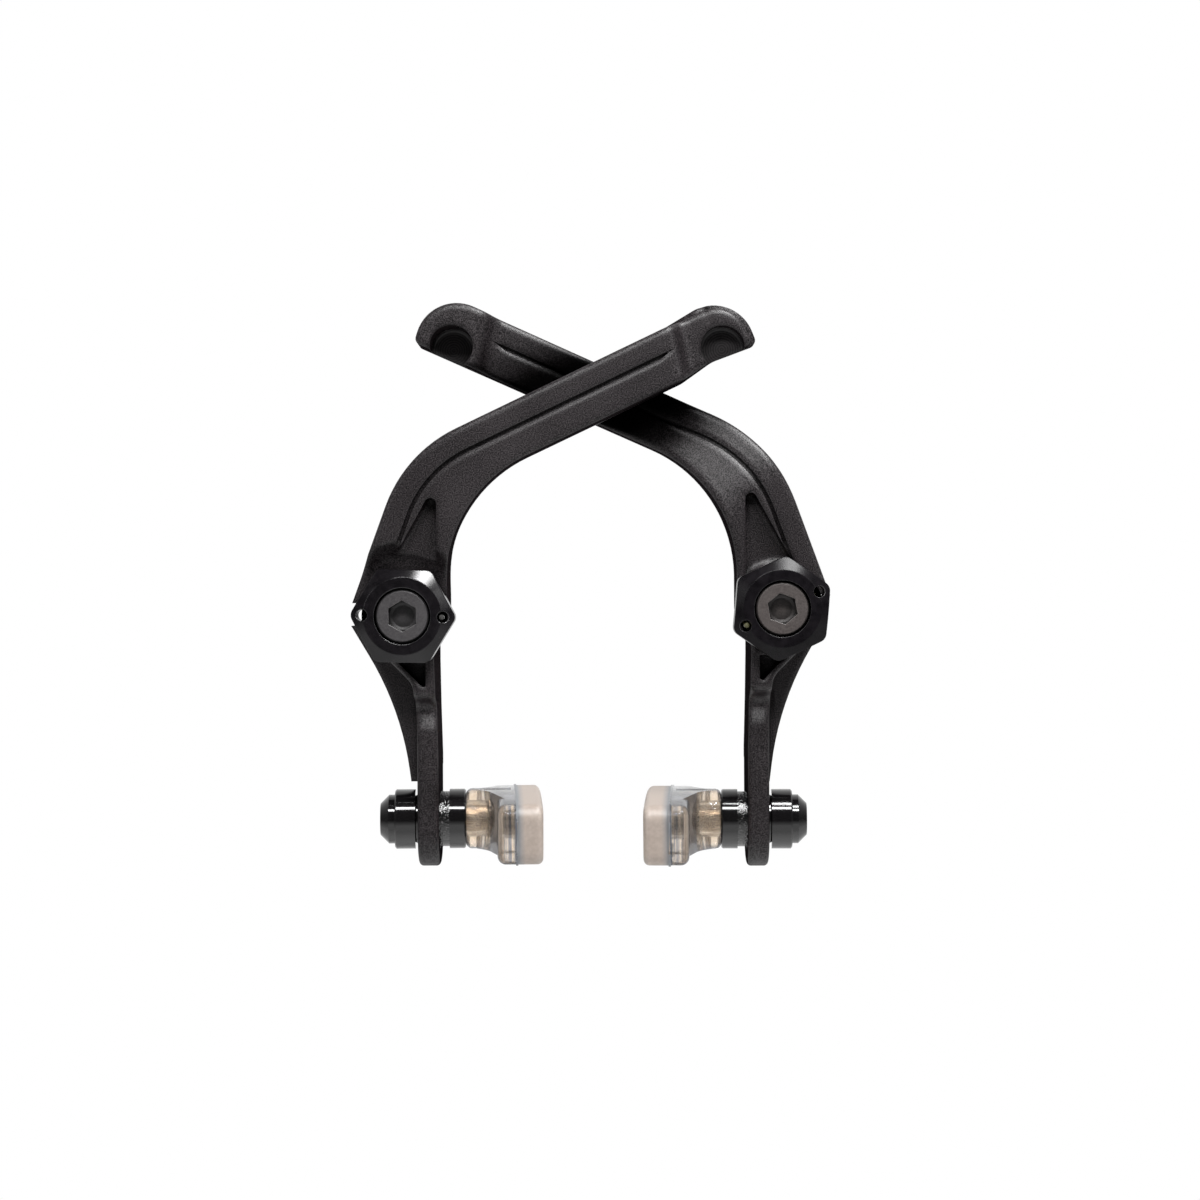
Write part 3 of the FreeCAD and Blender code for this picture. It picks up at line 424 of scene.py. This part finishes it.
def makeClearFinish(side):
    # smoky clear plastic, amber where it is seen square on, with a painted blue grey at a slant and painted
    # dark streaks next to the parting line, both standing in for the dark surroundings that the plastic
    # refracts
    at = padPartings[side]["at"]
    constants = {"Transmission Weight": clearSkin["clear"], "IOR": clearSkin["ior"],
                 "Specular Tint": (*clearSkin["sheen"], 1)}
    material, tree, shader, coords = newFinish(side + "PadClear", constants)
    grain = useGroup(tree, grainGroup, {"Vector": coords, "Grain Size": clearSkin["grain"]})
    slant = put(tree, "ShaderNodeLayerWeight", {"Blend": clearSkin["slantBlend"]}).outputs["Facing"]
    across = acrossPad(tree, coords, side)
    # painted dark streaks by the parting line, for the refraction there
    spot = calc(tree, "MULTIPLY", across, clearSkin["streaks"])
    lines = put(tree, "ShaderNodeTexNoise", {"W": spot, "Scale": 1.0, "Detail": 1.0}, noise_dimensions="1D")
    near = ramp(tree, across, at - clearSkin["streakFrom"], at - clearSkin["streakTo"], 0, 1)
    streaks = calc(tree, "MULTIPLY", near, ramp(tree, lines.outputs["Fac"], *clearSkin["streakTone"]))
    amber = blend(tree, streaks, toned(tree, grain["Tone"], clearSkin), clearSkin["streak"])
    # painted blue grey at a slant, for the dark surroundings that the plastic refracts at a slant
    aslant = ramp(tree, slant, *clearSkin["slant"])
    feed(tree, shader, {"Base Color": blend(tree, aslant, amber, clearSkin["edge"]),
                        "Roughness": ramp(tree, grain["Tone"], *clearSkin["rough"]),
                        "Normal": bump(tree, grain["Height"], clearSkin["relief"])})
    return material


# rim and sharp paint a pale highlight along the block's edges; parting is the colour of a painted band for
# the refraction next to the parting line
blockSkin = {
    "dark": (0.375, 0.312, 0.267), "light": (0.445, 0.375, 0.327), "rim": (0.86, 0.83, 0.80),
    "parting": (0.20, 0.215, 0.235), "bandFrom": 0.3 * mm, "bandTo": 1.8 * mm, "clear": 0.45, "ior": 1.49,
    "grain": 0.8, "relief": 0.004 * mm, "edges": {"Round": 0.8, "Reach": 6.0, "Corner": 2.0, "Edge": 2.6},
    "speckle": (0.35, 0.65, 0, 1), "rough": (0.3, 0.7, 0.38, 0.50), "sharp": (0.3, 0.6, 0, 0.75),
}


def makeBlockFinish(side):
    # frosted plastic of the block, with a painted bluish band for the refraction next to the parting line and
    # a painted pale highlight along its edges
    at = padPartings[side]["at"]
    constants = {"Transmission Weight": blockSkin["clear"], "IOR": blockSkin["ior"]}
    material, tree, shader, coords = newFinish(side + "PadFrosted", constants)
    grain = useGroup(tree, grainGroup, {"Vector": coords, "Grain Size": blockSkin["grain"]})
    edges = useGroup(tree, edgeGroup, blockSkin["edges"])
    across = acrossPad(tree, coords, side)
    # painted bluish band for the refraction next to the parting line
    band = ramp(tree, across, at + blockSkin["bandFrom"], at + blockSkin["bandTo"], 0, 1)
    colour = paintEdgeHighlight(tree, edges["Rim"], toned(tree, grain["Tone"], blockSkin), blockSkin)
    feed(tree, shader, {"Base Color": blend(tree, band, blockSkin["parting"], colour),
                        "Roughness": ramp(tree, grain["Tone"], *blockSkin["rough"]),
                        "Normal": bump(tree, grain["Height"], blockSkin["relief"], edges["Normal"])})
    return material


def dressPad(side):
    # each face takes the clear or the frosted finish by its side of the parting line
    mesh = nodes[side + "_brake_pad"].data
    parting = padPartings[side]
    mesh.materials.clear()
    mesh.materials.append(makeClearFinish(side))
    mesh.materials.append(makeBlockFinish(side))
    centres = np.empty(len(mesh.polygons) * 3)
    mesh.polygons.foreach_get("center", centres)
    centres = centres.reshape(-1, 3)
    across = centres[:, 0] * parting["inward"] + centres[:, 1] * padToe
    mesh.polygons.foreach_set("material_index", (across > parting["at"]).astype(np.int32))


def dress(node, material):
    slots = nodes[node].data.materials
    slots.clear()
    slots.append(material)


springFinish = {"left": "springSteel", "right": "springZinc"}
washerBlack = makeWasherFinish()
ballBlack = makeBallFinish()
metals = {name: makeMetalFinish(name) for name in metalSkins}
for side in sides:
    dress(side + "_arm", makeArmFinish(side))
    dress(side + "_tension_nut", makeNutFinish(side))
    dress(side + "_pivot_bolt", makeBoltFinish(side))
    dressPad(side)
    dress(side + "_pad_stud", metals["studSteel"])
    dress(side + "_return_spring", metals[springFinish[side]])
    dress(side + "_pivot_bushing", metals["bushingBronze"])
    dress(side + "_pivot_sleeve", metals["sleeveSteel"])
    dress(side + "_pad_inner_ball_washer", ballBlack)
    for piece in ("pad_inner_cup_washer", "pad_outer_ball_washer", "pad_outer_cup_washer", "pad_nut"):
        dress(side + "_" + piece, washerBlack)
print("finishes made")


def seenRays(tree, path):
    # mask of the rays that show a thing: straight from the camera, in a reflection or through the pads
    further = calc(tree, "MAXIMUM", path["Is Glossy Ray"], path["Is Transmission Ray"])
    return calc(tree, "MAXIMUM", path["Is Camera Ray"], further)


floorSet = {"height": -190 * mm, "radius": 0.42, "points": 96, "near": 60 * mm, "far": 150 * mm,
            "pale": (0.86, 0.86, 0.86)}


def makeFloor():
    # pale floor that keeps the shadow below the brake and turns plain white further out
    count = floorSet["points"]
    turn = np.linspace(0, 2 * np.pi, count, endpoint=False)
    rim = np.stack([np.cos(turn), np.sin(turn), np.zeros(count)], 1) * floorSet["radius"]
    mesh = bpy.data.meshes.new("floor")
    mesh.from_pydata((rim + (0, 0, floorSet["height"])).tolist(), [], [tuple(range(count))])
    floor = bpy.data.objects.new("floor", mesh)
    scene.collection.objects.link(floor)
    material = bpy.data.materials.new("floorPale")
    material.use_nodes = True
    tree = material.node_tree
    tree.nodes.clear()
    place = apart(tree, put(tree, "ShaderNodeTexCoord").outputs["Object"])
    flat = put(tree, "ShaderNodeCombineXYZ", {"X": place["X"], "Y": place["Y"]})
    reach = put(tree, "ShaderNodeVectorMath", {0: flat.outputs[0]}, operation="LENGTH").outputs["Value"]
    away = ramp(tree, reach, floorSet["near"], floorSet["far"], 0, 1)
    seen = seenRays(tree, put(tree, "ShaderNodeLightPath").outputs)
    matte = put(tree, "ShaderNodeBsdfDiffuse", {"Color": (*floorSet["pale"], 1)})
    white = put(tree, "ShaderNodeEmission", {"Color": (1, 1, 1, 1), "Strength": 1.0})
    mix = put(tree, "ShaderNodeMixShader", {0: calc(tree, "MULTIPLY", away, seen), 1: matte.outputs[0],
                                            2: white.outputs[0]})
    put(tree, "ShaderNodeOutputMaterial", {"Surface": mix.outputs[0]})
    mesh.materials.append(material)


worldSet = {"fill": (-0.3, 0.5, 0.37, 0.16), "backdrop": (-0.1, 0.8, 0, 1.0),
            "table": (-0.40, -0.05, 1.0, 0.05)}


def makeWorld():
    # soft light, weaker from behind; the backdrop is plain white, seen directly, through the pads or in
    # a reflection, and the room on the camera's side is dim above a pale table, as in a studio
    world = bpy.data.worlds.new("studio")
    scene.world = world
    world.use_nodes = True
    tree = world.node_tree
    tree.nodes.clear()
    path = put(tree, "ShaderNodeLightPath").outputs
    seen = seenRays(tree, path)
    heading = apart(tree, put(tree, "ShaderNodeTexCoord").outputs["Generated"])
    below = ramp(tree, heading["Z"], *worldSet["table"])
    backdrop = calc(tree, "MAXIMUM", ramp(tree, heading["Y"], *worldSet["backdrop"]), below)
    fill = ramp(tree, heading["Y"], *worldSet["fill"])
    shown = calc(tree, "MAXIMUM", path["Is Camera Ray"], backdrop)
    level = calc(tree, "MAXIMUM", calc(tree, "MULTIPLY", seen, shown),
                 calc(tree, "MULTIPLY", rest(tree, seen), fill))
    sky = put(tree, "ShaderNodeBackground", {"Color": (1, 1, 1, 1), "Strength": level})
    put(tree, "ShaderNodeOutputWorld", {"Surface": sky.outputs[0]})


lamps = {
    "top": {"place": (0.17, -0.20, 0.43), "size": (0.22, 0.12), "watts": 4.2},
    "front": {"place": (0.0, -0.36, 0.33), "size": (0.30, 0.07), "watts": 2.3},
    "left": {"place": (-0.42, -0.30, 0.18), "size": (0.08, 0.30), "watts": 0.35},
    "right": {"place": (0.42, -0.30, 0.22), "size": (0.08, 0.30), "watts": 0.35},
}


def makeLamps():
    # area lamps, each turned to the brake's middle
    for name, lamp in lamps.items():
        light = bpy.data.lights.new(name + "Lamp", "AREA")
        light.shape = "RECTANGLE"
        light.size, light.size_y = lamp["size"]
        light.energy = lamp["watts"]
        obj = bpy.data.objects.new(name + "Lamp", light)
        scene.collection.objects.link(obj)
        obj.location = lamp["place"]
        obj.rotation_euler = (-Vector(lamp["place"])).to_track_quat("-Z", "Y").to_euler()


cameraSet = {"place": (0.00172, -0.4765, 0.0027), "lens": 61.97, "sensor": 36.0, "roll": 1.13, "near": 0.01}


def makeCamera():
    # view from the front, a little rolled, at the distance that gives the photograph's perspective
    camera = bpy.data.cameras.new("camera")
    camera.sensor_width = cameraSet["sensor"]
    camera.lens = cameraSet["lens"]
    camera.clip_start = cameraSet["near"]
    obj = bpy.data.objects.new("camera", camera)
    scene.collection.objects.link(obj)
    obj.location = cameraSet["place"]
    obj.rotation_euler = (math.pi / 2, math.radians(cameraSet["roll"]), 0)
    scene.camera = obj


makeFloor()
makeWorld()
makeLamps()
makeCamera()
print("stage set")
